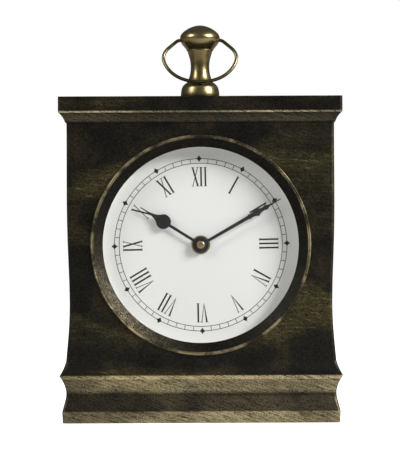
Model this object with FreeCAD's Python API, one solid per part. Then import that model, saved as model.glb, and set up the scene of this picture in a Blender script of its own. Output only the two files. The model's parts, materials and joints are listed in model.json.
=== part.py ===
"""Mantel carriage clock: cast case, round dial, quartz movement, finial with a hanging bow.

Millimetres. X points to the viewer's right, Y to the back and Z up. The origin is the middle of
the felt that the clock rests on. Every separate piece of the clock is one node in parts/.
"""
import FreeCAD, Part
import math
import os

# ---------------------------------------------------------------- driving dimensions: the case
HALF_WIDTH = 107.2          # flat sides of the case body
FRONT = 33.2                # front plane of the case body, at y = -FRONT
BACK = 39.6                 # flat back of the three castings
WALL = 3.0                  # casting wall
FELT = 0.6                  # felt under the base plate
PLINTH_TOP = 50.0
BODY_TOP = 241.0
CASE_TOP = 261.6
CORNER_RADIUS = 2.2         # upright corners of the castings
TOP_PLATE = 3.0

FLANGE_FRONT = 25.0         # flange round the back opening of the case body
PANEL_FRONT = 29.0          # the back panel lies on the flange here
SHEET = 1.5                 # back panel and door
FLANGE_HALF_WIDTH = 88.0
FLANGE_LOW = 66.0
FLANGE_HIGH = 226.0
SHELF = 3.0                 # back edge of the body above the plinth and below the cornice

LUG = 14.0                  # square lugs that the case screws go through
LUG_X = 96.0
LUG_FRONT_Y = -22.0
LUG_BACK_Y = 17.0
THIN_LUG = 4.0
THICK_LUG = 8.0
M4_RADIUS = 2.0
M3_RADIUS = 1.5
M6_RADIUS = 3.0
TAPPED_GAP = 0.05           # radial gap left between a screw and its thread
CLEAR_GAP = 0.25            # radial gap of a clearance hole

BASE_PLATE = 2.0
FLOOR_TOP = FELT + BASE_PLATE
WIDEST = 120.0              # half width of the boxes that trim the castings
BASE_SCREW_X = 98.0
BASE_SCREW_Y = (-25.0, 28.0)

# ---------------------------------------------------------------- driving dimensions: the dial
DIAL_Z = 142.7              # height of the dial's centre
BARREL_OUTER = 85.0
BARREL_INNER = 82.6
CASE_HOLE = 85.2
BEZEL_OUTER = 88.4
BEZEL_FACE = -35.2          # crown of the bezel's bead
BARREL_END = -14.6
SIGHT_RADIUS = 78.6         # clear opening of the bezel
GLASS_FRONT = -28.8
GLASS_BACK = -27.0
GLASS_RADIUS = 82.4
DIAL_FACE = -18.6
DIAL_BACK = -17.8
RING_THICK = 1.0            # snap rings
GROOVE_PLAY = 0.2

# ---------------------------------------------------------------- driving dimensions: the hands
HOUR_ANGLE = 302.0          # degrees clockwise from twelve, at rest
MINUTE_ANGLE = 60.3
HAND_THICK = 0.5
HOUR_LENGTH = 57.2
HOUR_BOSS = 6.25
HOUR_BULB = 6.0
HOUR_BULB_AT = 35.4
MINUTE_LENGTH = 74.3
MINUTE_BOSS = 5.2
HOUR_BLADE_FRONT = -22.3
HOUR_BOSS_Y = (-22.8, -21.2)
MINUTE_BLADE_FRONT = -24.1
MINUTE_BOSS_Y = (-24.2, -23.3)
HAND_NUT_Y = (-26.0, -24.2)
HAND_NUT_RADIUS = 3.05
ARBOR_TIP = -25.5
TUBE_OUTER = 2.5            # hour wheel's tube
TUBE_BORE = 1.55
ARBOR_THICK = 1.5           # minute arbor inside the hour tube
ARBOR_THIN = 1.2            # where the minute hand sits
ARBOR_BACK = 1.0            # behind the cannon pinion
RUNNING_GAP = 0.05

# ---------------------------------------------------------------- driving dimensions: the movement
MOVEMENT_HALF = 28.0
MOVEMENT_FRONT = -16.8
MOVEMENT_BACK = -0.8
SHELL = 1.2                 # housing and cover
COVER_FRONT = MOVEMENT_BACK - SHELL
INNER_FRONT = MOVEMENT_FRONT + SHELL
BAY_WALL = (-12.0, -11.0)   # wall above the battery, measured up from the dial's centre
BUSH_RADIUS = 4.0
BUSH_FRONT = -21.0
PLATE_FRONT = -12.4         # middle plate that carries the going train
PLATE_BACK = -11.6
PIVOT = 0.3                 # thin end of a small arbor
STAFF = 0.45                # the arbor between its pivots
PIVOT_DEPTH = 0.7

# teeth and module of each gear, front and back of its disc along Y
CANNON_PINION = (10, 0.30, -14.0, -13.0)
MINUTE_GEAR = (30, 0.30, -13.8, -13.2)
MINUTE_PINION = (8, 0.30, -15.3, -14.25)
HOUR_GEAR = (32, 0.30, -15.2, -14.4)
SETTING_PINION = (10, 0.30, -14.0, -13.0)
SETTING_STEM = 0.9          # radius of the setting knob's stem
CENTRE_GEAR = (64, 0.30, -11.1, -10.5)
THIRD_PINION = (8, 0.30, -11.3, -10.3)
THIRD_GEAR = (60, 0.25, -9.6, -9.1)
SECONDS_PINION = (8, 0.25, -9.8, -8.9)
SECONDS_GEAR = (60, 0.20, -8.2, -7.7)
INTERMEDIATE_PINION = (10, 0.20, -8.4, -7.5)
INTERMEDIATE_GEAR = (30, 0.25, -6.6, -6.1)
ROTOR_PINION = (6, 0.25, -6.8, -5.9)
MINUTE_WHEEL_DIRECTION = 150.0      # directions from one arbor to the next, from +X towards +Z
THIRD_DIRECTION = 60.0
SECONDS_DIRECTION = 0.0
INTERMEDIATE_DIRECTION = 60.0
ROTOR_DIRECTION = 150.0

MAGNET_RADIUS = 2.0
MAGNET = (-11.4, -9.9)
EYE_BORE = 2.4
EYE_RADIUS = 3.8
CORE_Z = 23.0
COIL_RADIUS = 3.6
BATTERY_RADIUS = 7.0
BATTERY_Z = -19.3
BATTERY_Y = -8.5
BATTERY_LENGTH = 49.0

# ---------------------------------------------------------------- driving dimensions: the back door
DOOR_LOW = 82.0             # opening in the back panel
DOOR_HIGH = 206.0
HINGE_X = -61.8
DOOR_RIGHT = 62.2
HINGE_Y = PANEL_FRONT + SHEET / 2
DOOR_GAP = 0.6
KNUCKLE = 1.5
LEAF = 0.6
PIN_RADIUS = 0.75
HINGE_MIDDLE = (DOOR_LOW + DOOR_HIGH) / 2
KNUCKLE_LENGTH = 13.2
KNUCKLE_COUNT = 9
KNOB_X = 50.0
DOOR_EDGE = 1.8             # from the hinge axis to the edge of the sheet on each side
LEAF_WIDTH = 12.0
RIVET = 1.0
RIVET_HEAD = 1.9

# ---------------------------------------------------------------- driving dimensions: finial and bow
BASE_TOP = 13.6             # heights above the case top
COLLAR = (39.0, 39.7)       # fine ring under the head
COLLAR_RADIUS = 10.9
HEAD_WIDE = 49.4
HEAD_TOP = 59.6
BASE_RADIUS = 15.7
FOOT_RADIUS = 10.2          # foot of the column
WAIST_RADIUS = 7.6
HEAD_RADIUS = 16.2
BOW_HOLE_UP = 47.4
WIRE_RADIUS = 1.4
BOW_HOLE_RADIUS = 1.5
BOW_PIN = 16.4              # half the straight part of the bow, through the head
BOW_TILT = 22.5             # the bow hangs this far forward of straight down
BEND_TOLERANCE = 0.05       # the bow is bent in plain arcs that follow its curve this closely


# ---------------------------------------------------------------- helpers
def vec(x, y, z):
    return FreeCAD.Vector(x, y, z)


ALONG_Y = vec(0, 1, 0)
ALONG_X = vec(1, 0, 0)
ALONG_Z = vec(0, 0, 1)
DIAL_CENTRE = vec(0, 0, DIAL_Z)


def front_view(x, z):
    return vec(x, 0, z)


def side_view(y, z):
    return vec(0, y, z)


def dial_lathe(radius, y):
    return vec(radius, y, DIAL_Z)


def finial_lathe(radius, up):
    return vec(radius, 0, CASE_TOP + up)


def outline_face(place, start, *steps):
    """Face inside a closed outline, whose flat points place() puts into space.

    A step that is a point is a straight edge. A list of two points is an arc through the first to
    the second, and a longer list is a smooth curve through them all.
    """
    edges = []
    here = place(*start)
    for step in list(steps) + [start]:
        if isinstance(step, tuple):
            there = place(*step)
            if here.distanceToPoint(there) < 1e-6:
                continue
            edges.append(Part.makeLine(here, there))
        elif len(step) == 2:
            middle, there = (place(*point) for point in step)
            edges.append(Part.Arc(here, middle, there).toShape())
        else:
            points = [here] + [place(*point) for point in step]
            there = points[-1]
            curve = Part.BSplineCurve()
            curve.interpolate(points)
            edges.append(curve.toShape())
        here = there
    return Part.Face(Part.Wire(edges))


def turned(place, axis_point, axis, start, *steps):
    """Solid of revolution from a half section."""
    return outline_face(place, start, *steps).revolve(axis_point, axis, 360)


def dial_turned(start, *steps):
    return turned(dial_lathe, DIAL_CENTRE, ALONG_Y, start, *steps)


def finial_turned(start, *steps):
    return turned(finial_lathe, vec(0, 0, CASE_TOP), ALONG_Z, start, *steps)


def box(x, y, z):
    """Box between the low and high values given for each axis."""
    return Part.makeBox(x[1] - x[0], y[1] - y[0], z[1] - z[0], vec(x[0], y[0], z[0]))


def rod(radius, low, high, axis, x=0.0, y=0.0, z=0.0):
    """Cylinder along an axis, from low to high on it, through the point x, y, z."""
    start = vec(x, y, z) + axis * (low - vec(x, y, z).dot(axis))
    return Part.makeCylinder(radius, high - low, start, axis)


def joined(shapes):
    """One solid from overlapping solids."""
    first, rest = shapes[0], shapes[1:]
    return first.fuse(rest).removeSplitter() if rest else first


def mirrored_pair(x_values, y_values):
    """Every place at plus and minus each x, with each y."""
    return [(side * x, y) for x in x_values for side in (-1, 1) for y in y_values]


# ---------------------------------------------------------------- the three castings
def outline_ends(outline):
    """Lowest and highest height of an outline."""
    heights = [point[1] for step in outline for point in (step if isinstance(step, list) else [step])]
    return min(heights), max(heights)


def placed(outline, move):
    """The outline's steps with move() applied to each point."""
    return [[move(*point) for point in step] if isinstance(step, list) else move(*step)
            for step in outline]


def across(outline, shrink, depth):
    """Slab whose front view is the outline on both sides, drawn in by shrink, between two depths."""
    low, high = outline_ends(outline)
    right = placed(outline, lambda out, z: (HALF_WIDTH + out - shrink, z))
    half = outline_face(front_view, (0, low), *right, (0, high)).extrude(vec(0, depth[1] - depth[0], 0))
    half.translate(vec(0, depth[0], 0))
    return half.fuse(half.mirror(vec(0, 0, 0), ALONG_X)).removeSplitter()


def moulded(sides, front, shrink):
    """Casting with a moulding round its two sides and its front, drawn in by shrink.

    Each outline runs from bottom to top as distances outside the body's flat sides or front.
    """
    low, high = outline_ends(front)
    forward = placed(front, lambda out, z: (shrink - FRONT - out, z))
    back = BACK - shrink
    side = outline_face(side_view, (back, low), *forward, (back, high)).extrude(vec(2 * WIDEST, 0, 0))
    side.translate(vec(-WIDEST, 0, 0))
    return across(sides, shrink, (-2 * BACK, 2 * BACK)).common(side)


FOOT = 3.6                  # how far the foot's lower edge stands out
PLINTH_MOULDING = [
    (FOOT, FELT), (4.1, 9.2),
    [(2.1, 17.2), (1.0, 24.2), (2.2, 30.6), (6.2, 38.3)],
]
PLINTH_OUTLINE = PLINTH_MOULDING + [[(3.6, 42.8), (1.0, PLINTH_TOP)]]
PLINTH_FRONT = PLINTH_MOULDING + [[(3.2, 42.8), (0.0, PLINTH_TOP)]]
BODY_OUTLINE = [
    (1.0, PLINTH_TOP),
    [(0.2, 58.7), (-1.3, 76.0), (-2.0, 98.0), (-1.1, 130.0), (-0.1, 163.0), (0.0, 200.0),
     (0.0, BODY_TOP)],
]
CORNICE_OUTLINE = [
    (0.8, BODY_TOP), (1.2, BODY_TOP + 0.8),
    [(3.0, 245.4), (6.1, 248.8)],
    (6.4, 249.4), (6.4, CASE_TOP),
]


def rounded_corners(solid):
    """Round the upright front corners of a casting."""
    corners = []
    for edge in solid.Edges:
        ends = [vertex.Point for vertex in edge.Vertexes]
        upright = abs(ends[0].z - ends[-1].z) > 0.3
        if upright and all(abs(end.x) > HALF_WIDTH - 5 and end.y < 1 - FRONT for end in ends):
            corners.append(edge)
    return solid.makeFillet(CORNER_RADIUS, corners)


def lug(x, y, low, high, standing_out=0.0):
    """Square lug that reaches from a screw's place into the middle of the side wall.

    standing_out is how far the moulding stands out there.
    """
    side = math.copysign(1, x)
    reach = sorted((x - side * LUG / 2, side * (HALF_WIDTH - WALL / 2 + standing_out)))
    return box(reach, (y - LUG / 2, y + LUG / 2), (low, high))


def case_screw_places():
    return mirrored_pair((LUG_X,), (LUG_FRONT_Y, LUG_BACK_Y))


def base_screw_places():
    return mirrored_pair((BASE_SCREW_X,), BASE_SCREW_Y)


def drilled(solid, places, radius, low, high):
    """The solid with upright holes at the places."""
    for x, y in places:
        solid = solid.cut(rod(radius, low, high, ALONG_Z, x, y))
    return solid


def make_plinth():
    solid = moulded(PLINTH_OUTLINE, PLINTH_FRONT, 0)
    shell = rounded_corners(solid).cut(moulded(PLINTH_OUTLINE, PLINTH_FRONT, WALL))
    upper = [lug(x, y, PLINTH_TOP - THIN_LUG, PLINTH_TOP) for x, y in case_screw_places()]
    lower = [lug(x, y, FLOOR_TOP, FLOOR_TOP + THICK_LUG, FOOT) for x, y in base_screw_places()]
    solid = joined([shell] + upper + lower)
    solid = drilled(solid, case_screw_places(), M4_RADIUS + CLEAR_GAP, PLINTH_TOP - 9, PLINTH_TOP + 1)
    return drilled(solid, base_screw_places(), M4_RADIUS + TAPPED_GAP, 0, FLOOR_TOP + THICK_LUG + 1)


def make_case_body():
    solid = rounded_corners(across(BODY_OUTLINE, 0, (-FRONT, BACK)))
    inside = across(BODY_OUTLINE, WALL, (WALL - FRONT, FLANGE_FRONT))
    recess = across(BODY_OUTLINE, WALL, (PANEL_FRONT, BACK + 1))
    recess = recess.common(box((-WIDEST, WIDEST), (0, 2 * BACK), (PLINTH_TOP + SHELF, BODY_TOP - SHELF)))
    opening = box((-FLANGE_HALF_WIDTH, FLANGE_HALF_WIDTH), (0, BACK), (FLANGE_LOW, FLANGE_HIGH))
    solid = solid.cut([inside, recess, opening])
    solid = solid.cut(rod(CASE_HOLE, -FRONT - 1, WALL - FRONT + 1, ALONG_Y, z=DIAL_Z))
    upper = [lug(x, y, BODY_TOP - THIN_LUG, BODY_TOP) for x, y in case_screw_places()]
    lower = [lug(x, y, PLINTH_TOP, PLINTH_TOP + THICK_LUG) for x, y in case_screw_places()]
    solid = joined([solid] + upper + lower)
    solid = drilled(solid, case_screw_places(), M4_RADIUS + CLEAR_GAP, BODY_TOP - 9, BODY_TOP + 1)
    solid = drilled(solid, case_screw_places(), M4_RADIUS + TAPPED_GAP,
                    PLINTH_TOP - 1, PLINTH_TOP + THICK_LUG + 1)
    for x, z in panel_screw_places():
        solid = solid.cut(rod(M3_RADIUS + TAPPED_GAP, FLANGE_FRONT - 1, PANEL_FRONT + 1, ALONG_Y, x, z=z))
    return solid


def make_cornice():
    hollow = moulded(CORNICE_OUTLINE, CORNICE_OUTLINE, WALL)
    hollow = hollow.common(box((-WIDEST, WIDEST), (-BACK, BACK), (0, CASE_TOP - TOP_PLATE)))
    shell = rounded_corners(moulded(CORNICE_OUTLINE, CORNICE_OUTLINE, 0)).cut(hollow)
    blocks = [lug(x, y, BODY_TOP, CASE_TOP - TOP_PLATE + 1) for x, y in case_screw_places()]
    solid = joined([shell] + blocks)
    solid = drilled(solid, case_screw_places(), M4_RADIUS + TAPPED_GAP, BODY_TOP - 1, BODY_TOP + 12)
    return solid.cut(rod(M6_RADIUS + CLEAR_GAP, BODY_TOP, CASE_TOP + 1, ALONG_Z))


# ---------------------------------------------------------------- base, back panel and fasteners
def pan_screw(radius, length, head_radius, head_height):
    """Pan-head screw on the Z axis, its shank going up from the head's flat at zero."""
    head = Part.makeCylinder(head_radius, head_height, vec(0, 0, -head_height))
    crown = [edge for edge in head.Edges if abs(edge.BoundBox.ZMax + head_height) < 1e-6]
    head = head.makeFillet(0.4 * head_height, crown)
    slot = box((-head_radius, head_radius), (-0.35, 0.35), (-head_height - 1, -0.6 * head_height))
    return head.fuse(Part.makeCylinder(radius, length, vec(0, 0, -0.1))).removeSplitter().cut(slot)


def flat_screw(radius, length, head_radius):
    """Countersunk screw on the Z axis, its flat head at zero and its shank going up."""
    cone = Part.makeCone(head_radius, radius, head_radius - radius)
    slot = box((-head_radius, head_radius), (-0.35, 0.35), (-1, 0.6))
    return cone.fuse(Part.makeCylinder(radius, length)).removeSplitter().cut(slot)


def copies(shape, places):
    """Group of the same solid at several places."""
    group = []
    for place in places:
        copy = shape.copy()
        copy.translate(vec(*place))
        group.append(copy)
    return Part.makeCompound(group)


def make_cornice_screws():
    screw = pan_screw(M4_RADIUS, 13.0, 3.75, 2.4)
    return copies(screw, [(x, y, BODY_TOP - THIN_LUG) for x, y in case_screw_places()])


def make_plinth_screws():
    screw = pan_screw(M4_RADIUS, 11.0, 3.75, 2.4)
    return copies(screw, [(x, y, PLINTH_TOP - THIN_LUG) for x, y in case_screw_places()])


def make_base_plate():
    gap = 0.3
    half_width = HALF_WIDTH + FOOT - WALL - gap
    depth = (WALL + gap - FRONT - FOOT, BACK - WALL - gap)
    plate = box((-half_width, half_width), depth, (FELT, FLOOR_TOP))
    for x, y in base_screw_places():
        plate = plate.cut(rod(M4_RADIUS + CLEAR_GAP, 0, FLOOR_TOP + 1, ALONG_Z, x, y))
        sink = Part.makeCone(4.0 + TAPPED_GAP, M4_RADIUS + TAPPED_GAP, 2.0, vec(x, y, FELT))
        plate = plate.cut(sink)
    return plate


def make_base_screws():
    return copies(flat_screw(M4_RADIUS, 9.0, 4.0), [(x, y, FELT) for x, y in base_screw_places()])


def make_base_felt():
    inset = WALL + 3.5
    half_width = HALF_WIDTH + FOOT - inset
    return box((-half_width, half_width), (inset - FRONT - FOOT, BACK - inset), (0, FELT))


def panel_screw_places():
    return mirrored_pair((95.0,), (60.0, DIAL_Z, 232.0))


def make_back_panel():
    gap = 0.4
    panel = across(BODY_OUTLINE, WALL + gap, (PANEL_FRONT, PANEL_FRONT + SHEET))
    low, high = PLINTH_TOP + SHELF + gap, BODY_TOP - SHELF - gap
    panel = panel.common(box((-WIDEST, WIDEST), (0, BACK), (low, high)))
    panel = panel.cut(box((HINGE_X - DOOR_EDGE, DOOR_RIGHT), (0, BACK), (DOOR_LOW, DOOR_HIGH)))
    for x, z in panel_screw_places():
        panel = panel.cut(rod(M3_RADIUS + CLEAR_GAP, 0, BACK, ALONG_Y, x, z=z))
    for x, z in rivet_places(-1):
        panel = panel.cut(rod(RIVET + TAPPED_GAP, 0, BACK, ALONG_Y, x, z=z))
    return panel


def make_panel_screws():
    screw = pan_screw(M3_RADIUS, 5.0, 3.0, 1.9)
    screw.rotate(vec(0, 0, 0), ALONG_X, 90)
    return copies(screw, [(x, PANEL_FRONT + SHEET, z) for x, z in panel_screw_places()])


# ---------------------------------------------------------------- back door
def make_back_door():
    door = box((HINGE_X + DOOR_EDGE, DOOR_RIGHT - DOOR_GAP), (PANEL_FRONT, PANEL_FRONT + SHEET),
               (DOOR_LOW + DOOR_GAP, DOOR_HIGH - DOOR_GAP))
    door = door.cut(rod(M3_RADIUS + CLEAR_GAP, 0, BACK, ALONG_Y, KNOB_X, z=HINGE_MIDDLE))
    for x, z in rivet_places(1):
        door = door.cut(rod(RIVET + TAPPED_GAP, 0, BACK, ALONG_Y, x, z=z))
    return door


def knuckle_spans(first):
    """Heights of every second knuckle, from the first."""
    low = HINGE_MIDDLE - KNUCKLE_COUNT * KNUCKLE_LENGTH / 2
    gap = 0.15
    return [(low + index * KNUCKLE_LENGTH + gap, low + (index + 1) * KNUCKLE_LENGTH - gap)
            for index in range(first, KNUCKLE_COUNT, 2)]


def hinge_leaf(side, first):
    """Hinge leaf on the inner face of the sheet, to one side of the axis, with its knuckles."""
    low = HINGE_MIDDLE - KNUCKLE_COUNT * KNUCKLE_LENGTH / 2
    high = HINGE_MIDDLE + KNUCKLE_COUNT * KNUCKLE_LENGTH / 2
    inner = HINGE_X + side * DOOR_EDGE
    outer = HINGE_X + side * (DOOR_EDGE + LEAF_WIDTH)
    depth = (PANEL_FRONT - LEAF, PANEL_FRONT)
    pieces = [box(sorted((inner, outer)), depth, (low, high))]
    for span in knuckle_spans(first):
        pieces.append(rod(KNUCKLE, *span, ALONG_Z, HINGE_X, HINGE_Y))
        pieces.append(box(sorted((HINGE_X, inner + side * 0.1)), depth, span))
    leaf = joined(pieces).cut(rod(PIN_RADIUS + RUNNING_GAP, 0, CASE_TOP, ALONG_Z, HINGE_X, HINGE_Y))
    for x, z in rivet_places(side):
        leaf = leaf.cut(rod(RIVET + TAPPED_GAP, 0, BACK, ALONG_Y, x, z=z))
    return leaf


def rivet_places(side):
    x = HINGE_X + side * (DOOR_EDGE + LEAF_WIDTH / 2)
    return [(x, HINGE_MIDDLE + along) for along in (-45.0, 0.0, 45.0)]


def hinge_rivets(side):
    """Rivets through a leaf and its sheet."""
    low, high = PANEL_FRONT - LEAF, PANEL_FRONT + SHEET
    group = []
    for x, z in rivet_places(side):
        shank = rod(RIVET, low - 0.4, high + 0.4, ALONG_Y, x, z=z)
        heads = [rod(RIVET_HEAD, low - 0.7, low, ALONG_Y, x, z=z),
                 rod(RIVET_HEAD, high, high + 0.7, ALONG_Y, x, z=z)]
        group.append(joined([shank] + heads))
    return Part.makeCompound(group)


def make_hinge_pin():
    half = KNUCKLE_COUNT * KNUCKLE_LENGTH / 2 + 0.6
    return rod(PIN_RADIUS, HINGE_MIDDLE - half, HINGE_MIDDLE + half, ALONG_Z, HINGE_X, HINGE_Y)


def make_door_knob():
    """Mushroom knob with a threaded stem, turned about an axis along Y."""
    face = PANEL_FRONT + SHEET

    def lathe(radius, y):
        return vec(KNOB_X + radius, y, HINGE_MIDDLE)
    return turned(lathe, vec(KNOB_X, 0, HINGE_MIDDLE), ALONG_Y,
                  (0, face - 4.5), (M3_RADIUS, face - 4.5), (M3_RADIUS, face), (3.2, face),
                  [(2.6, face + 1.4), (3.4, face + 2.8)],
                  (5.6, face + 3.4), [(5.7, face + 4.6), (4.2, face + 5.9), (0, face + 6.4)])


def make_door_knob_nut():
    nut = hexagon(5.5, PANEL_FRONT - 2.2, PANEL_FRONT, KNOB_X, HINGE_MIDDLE)
    return nut.cut(rod(M3_RADIUS + TAPPED_GAP, 0, BACK, ALONG_Y, KNOB_X, z=HINGE_MIDDLE))


def make_magnet_catch():
    """Magnet that holds the door's free edge, on a lip fixed to the back panel."""
    reach = 4.0
    magnet = box((DOOR_RIGHT - 6.0, DOOR_RIGHT + reach), (PANEL_FRONT - 5.0, PANEL_FRONT - 0.3),
                 (HINGE_MIDDLE - 10, HINGE_MIDDLE + 10))
    lip = box((DOOR_RIGHT + 0.4, DOOR_RIGHT + reach), (PANEL_FRONT - 1.0, PANEL_FRONT),
              (HINGE_MIDDLE - 10, HINGE_MIDDLE + 10))
    return joined([magnet, lip])


def hexagon(across_flats, low, high, x, z):
    """Hexagonal prism along Y."""
    corner = across_flats / math.sqrt(3)
    points = [(x + corner * math.cos(math.radians(60 * side)),
               z + corner * math.sin(math.radians(60 * side))) for side in range(6)]
    prism = outline_face(front_view, points[0], *points[1:]).extrude(vec(0, high - low, 0))
    prism.translate(vec(0, low, 0))
    return prism


# ---------------------------------------------------------------- bezel, glass and dial
def make_bezel():
    """Funnel with a beaded lip in front of the case wall, and a barrel through it."""
    wall_front, wall_back = -FRONT, WALL - FRONT
    deep = BARREL_OUTER - 0.8
    inner_groove = BARREL_INNER + 0.8
    groove_end = wall_back + RING_THICK + GROOVE_PLAY
    dial_groove_end = DIAL_BACK + RING_THICK + GROOVE_PLAY
    return dial_turned(
        (BEZEL_OUTER, wall_front), (BEZEL_OUTER, BEZEL_FACE + 0.9),
        [(87.5, BEZEL_FACE), (86.7, BEZEL_FACE + 0.6)],
        [(86.2, BEZEL_FACE + 0.2), (85.6, BEZEL_FACE + 0.7)],
        (SIGHT_RADIUS, GLASS_FRONT - 0.8), (SIGHT_RADIUS, GLASS_FRONT),
        (BARREL_INNER, GLASS_FRONT), (BARREL_INNER, DIAL_BACK), (inner_groove, DIAL_BACK),
        (inner_groove, dial_groove_end), (BARREL_INNER, dial_groove_end),
        (BARREL_INNER, BARREL_END), (BARREL_OUTER, BARREL_END),
        (BARREL_OUTER, groove_end), (deep, groove_end),
        (deep, wall_back), (BARREL_OUTER, wall_back), (BARREL_OUTER, wall_front))


def ring(outer, inner, low, high):
    return dial_turned((inner, low), (outer, low), (outer, high), (inner, high))


def open_ring(outer, inner, low, high, gap):
    """Snap ring with a gap at the bottom."""
    whole = ring(outer, inner, low, high)
    return whole.cut(box((-gap / 2, gap / 2), (low - 1, high + 1), (DIAL_Z - outer - 1, DIAL_Z)))


def make_bezel_snap_ring():
    low = WALL - FRONT
    return open_ring(BEZEL_OUTER, BARREL_OUTER - 0.7, low, low + RING_THICK, 14.0)


def make_dial_snap_ring():
    return open_ring(BARREL_INNER + 0.7, 80.4, DIAL_BACK, DIAL_BACK + RING_THICK, 14.0)


def make_glass():
    return dial_turned((0, GLASS_FRONT), (GLASS_RADIUS, GLASS_FRONT), (GLASS_RADIUS, GLASS_BACK),
                       (0, GLASS_BACK))


def make_dial_spacer():
    return ring(GLASS_RADIUS, 80.4, GLASS_BACK, DIAL_FACE)


def make_dial_plate():
    return ring(GLASS_RADIUS, BUSH_RADIUS + 0.15, DIAL_FACE, DIAL_BACK)


# ---------------------------------------------------------------- hands
def hand(outline, angle, blade_front, boss_radius, boss, bore):
    """Flat hand along a clock angle, from half its outline as (half width, distance out)."""
    turn = math.radians(angle)

    def place(half_width, out):
        return vec(half_width * math.cos(turn) + out * math.sin(turn), blade_front,
                   DIAL_Z - half_width * math.sin(turn) + out * math.cos(turn))
    half = outline_face(place, (0, 0), *outline).extrude(vec(0, HAND_THICK, 0))
    side = vec(math.cos(turn), 0, -math.sin(turn))
    blade = half.fuse(half.mirror(place(0, 0), side))
    hub = rod(boss_radius, *boss, ALONG_Y, z=DIAL_Z)
    whole = joined([blade, hub])
    return whole.cut(rod(bore, boss[0] - 1, boss[1] + 1, ALONG_Y, z=DIAL_Z))


def make_hour_hand():
    neck = 1.15
    reach = math.sqrt(HOUR_BULB ** 2 - neck ** 2)
    bulb_side = (HOUR_BULB, HOUR_BULB_AT)
    shoulder = math.radians(35)
    leave = (HOUR_BULB * math.cos(shoulder), HOUR_BULB_AT + HOUR_BULB * math.sin(shoulder))
    outline = [(neck, 0), (neck, HOUR_BULB_AT - reach), [bulb_side, leave],
               [(2.2, 42.6), (1.0, 46.5), (0.35, HOUR_LENGTH)], (0, HOUR_LENGTH)]
    return hand(outline, HOUR_ANGLE, HOUR_BLADE_FRONT, HOUR_BOSS, HOUR_BOSS_Y, TUBE_OUTER + TAPPED_GAP)


def make_minute_hand():
    outline = [(1.1, 0), (1.45, 44.6), (2.5, 45.3), (1.5, 46.6), (1.8, 48.0),
               [(2.3, 50.6), (3.6, 52.2)],
               [(2.4, 54.0), (1.7, 59.8)],
               (2.5, 60.4), (1.3, 61.8), (0.75, 64.0), (0.35, MINUTE_LENGTH), (0, MINUTE_LENGTH)]
    return hand(outline, MINUTE_ANGLE, MINUTE_BLADE_FRONT, MINUTE_BOSS, MINUTE_BOSS_Y,
                ARBOR_THIN + TAPPED_GAP)


def make_hand_nut():
    """Domed closed nut on the end of the minute arbor."""
    low, high = HAND_NUT_Y
    bore = ARBOR_THIN + TAPPED_GAP
    return dial_turned((0, low), [(1.2, low + 0.05), (2.3, low + 0.3), (HAND_NUT_RADIUS, low + 0.7)],
                       (HAND_NUT_RADIUS, high), (bore, high), (bore, low + 0.5), (0, low + 0.5))


# ---------------------------------------------------------------- dial fixings
def make_dial_washer():
    return ring(7.5, BUSH_RADIUS + 0.15, DIAL_FACE - 0.3, DIAL_FACE)


def make_dial_nut():
    low, high = DIAL_FACE - 2.1, DIAL_FACE - 0.3
    return hexagon(10.0, low, high, 0, DIAL_Z).cut(rod(BUSH_RADIUS + TAPPED_GAP, low - 1, high + 1,
                                                       ALONG_Y, z=DIAL_Z))


def make_rubber_washer():
    half = 12.0
    pad = movement_box((-half, half), (DIAL_BACK, MOVEMENT_FRONT), (-half, half))
    return pad.cut(rod(BUSH_RADIUS + 0.15, DIAL_BACK - 1, MOVEMENT_FRONT + 1, ALONG_Y, z=DIAL_Z))


# ---------------------------------------------------------------- movement: shells
def movement_box(x, y, up):
    """Box in the movement, its heights measured from the dial's centre."""
    return box(x, y, (DIAL_Z + up[0], DIAL_Z + up[1]))


def polar(start, distance, direction):
    turn = math.radians(direction)
    return (start[0] + distance * math.cos(turn), start[1] + distance * math.sin(turn))


def centres_apart(first, second):
    """Distance between two meshing gears' arbors."""
    return (first[0] + second[0]) * first[1] / 2


CENTRE = (0.0, 0.0)
MINUTE_WHEEL = polar(CENTRE, centres_apart(CANNON_PINION, MINUTE_GEAR), MINUTE_WHEEL_DIRECTION)
SETTING = polar(MINUTE_WHEEL, centres_apart(MINUTE_GEAR, SETTING_PINION), MINUTE_WHEEL_DIRECTION)
THIRD = polar(CENTRE, centres_apart(CENTRE_GEAR, THIRD_PINION), THIRD_DIRECTION)
SECONDS = polar(THIRD, centres_apart(THIRD_GEAR, SECONDS_PINION), SECONDS_DIRECTION)
INTERMEDIATE = polar(SECONDS, centres_apart(SECONDS_GEAR, INTERMEDIATE_PINION), INTERMEDIATE_DIRECTION)
ROTOR = polar(INTERMEDIATE, centres_apart(INTERMEDIATE_GEAR, ROTOR_PINION), ROTOR_DIRECTION)
GOING_ARBORS = (THIRD, SECONDS, INTERMEDIATE, ROTOR)
PLATE_POSTS = ((-14.8, -9.2), (25.0, -9.2), (25.0, 17.0), (-14.8, 17.0))
STATOR_POSTS = ((-18.5, CORE_Z), (16.0, CORE_Z))
BOARD_POSTS = ((-24.6, 12.2), (-24.6, 24.8))
BOARD_FRONT = -6.2
BOARD_BACK = -5.4


def at(place, radius, low, high):
    """Cylinder along Y at a place in the movement."""
    return rod(radius, low, high, ALONG_Y, place[0], z=DIAL_Z + place[1])


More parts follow.
